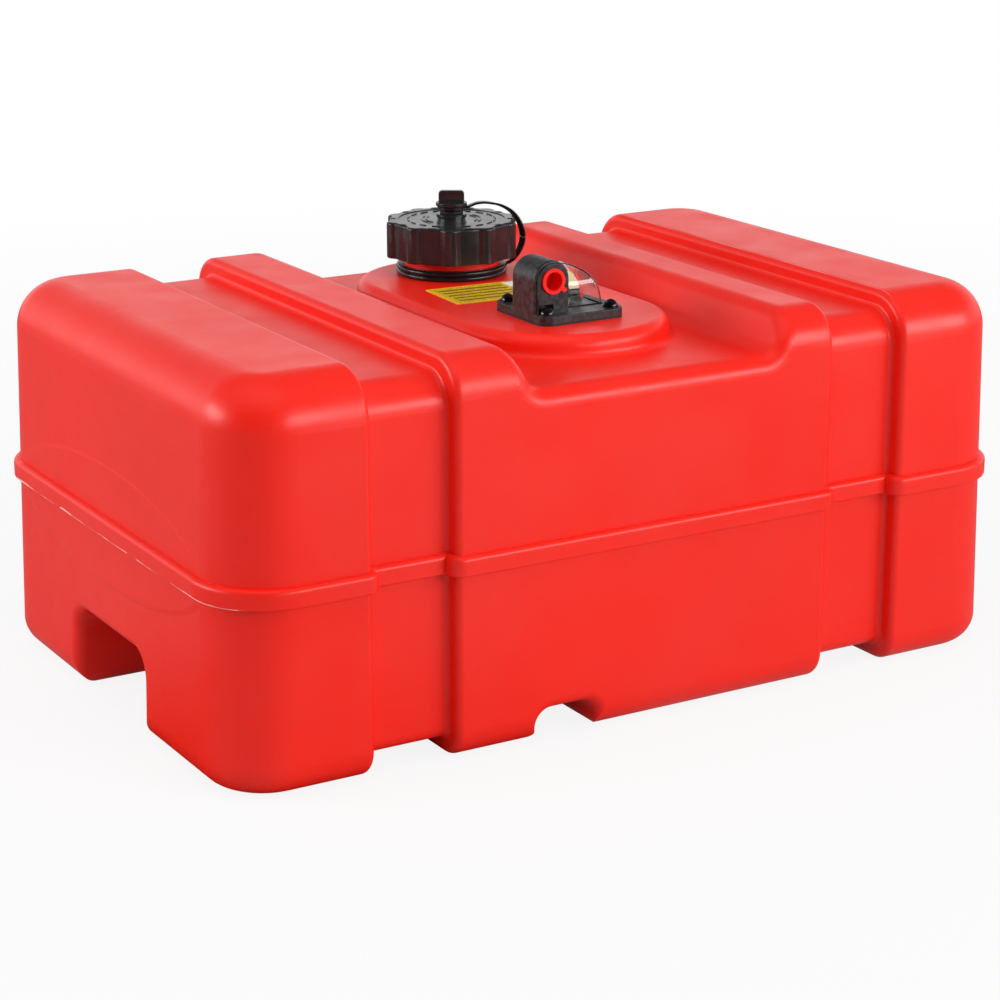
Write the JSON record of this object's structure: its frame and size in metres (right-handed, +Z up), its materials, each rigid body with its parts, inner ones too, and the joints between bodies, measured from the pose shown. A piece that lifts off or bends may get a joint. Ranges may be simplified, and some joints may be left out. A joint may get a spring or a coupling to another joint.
{
  "type": "portable marine fuel tank",
  "caption": "Red blow-moulded portable fuel tank with vented screw cap on a keeper, fuel pickup with plugged outlet and float gauge, strap grooves and hand pockets.",
  "frame": {"origin": "on the floor under the middle of the tank's box", "axes": "+X along the length of the tank, +Z up, -Y toward the side on which the fuel pickup sits"},
  "size_m": [0.605, 0.391, 0.3092],
  "materials": {
    "red_tank": "semi-gloss moulded",
    "black_cap": "semi-gloss moulded",
    "rubber_seal": "matte",
    "black_keeper": "satin",
    "black_pickup": "matte, slightly mottled",
    "black_screw": "gloss black",
    "red_plug": "satin",
    "clear_lens": "clear gloss",
    "steel_pin": "plain",
    "black_gauge": "matte",
    "cream_scale": "matte",
    "steel_wire": "drawn",
    "float_foam": "matte",
    "natural_tube": "translucent satin",
    "white_strainer": "satin",
    "yellow_label": "satin",
    "dark_print": "matte",
    "white_print": "matte"
  },
  "bodies": {
    "tank": {"tank_shell": "red_tank", "tether_ring": "black_keeper", "tether_strap": "black_keeper", "pickup_base": "black_pickup", "pickup_gasket": "rubber_seal", "pickup_screws": "black_screw", "gauge_lens": "clear_lens", "lens_seal": "rubber_seal", "gauge_axle": "steel_pin", "dip_tube": "natural_tube", "tube_strainer": "white_strainer", "label_sheet": "yellow_label", "label_print": "dark_print", "label_panel": "white_print"},
    "keeper_eye": {"tether_eye": "black_keeper"},
    "cap": {"filler_cap": "black_cap", "cap_gasket": "rubber_seal"},
    "vent_ring": {"vent_seal": "rubber_seal"},
    "vent": {"vent_screw": "black_cap"},
    "gauge": {"gauge_wheel": "black_gauge", "gauge_scale": "cream_scale", "float_arm": "steel_wire", "float_body": "float_foam", "float_clip": "black_gauge"},
    "plug": {"port_plug": "red_plug"}
  },
  "joints": [
    {"name": "cap_rise", "type": "slide", "parent": "tank", "child": "keeper_eye", "axis": [0, 0, 1], "range_m": [0, 0.024], "deforming": ["tether_strap"]},
    {"name": "cap_turn", "type": "hinge", "parent": "keeper_eye", "child": "cap", "pos_m": [0.012, 0.089, 0.27], "axis": [0, 0, 1], "range_deg": [0, 1440]},
    {"name": "vent_turn", "type": "hinge", "parent": "cap", "child": "vent_ring", "pos_m": [0.012, 0.089, 0.292], "axis": [0, 0, 1], "range_deg": [0, 720]},
    {"name": "vent_rise", "type": "slide", "parent": "vent_ring", "child": "vent", "axis": [0, 0, 1], "range_m": [0, 0.004]},
    {"name": "float_swing", "type": "hinge", "parent": "tank", "child": "gauge", "pos_m": [0.005, -0.06425, 0.2629], "axis": [1, 0, 0], "range_deg": [0, 74]},
    {"name": "plug_pull", "type": "slide", "parent": "tank", "child": "plug", "axis": [0, -1, 0], "range_m": [0, 0.025]}
  ],
  "couplings": [
    {"joint": "cap_rise", "follows": "cap_turn", "m_per_rad": 0.0009549},
    {"joint": "vent_rise", "follows": "vent_turn", "m_per_rad": 0.0003183}
  ]
}
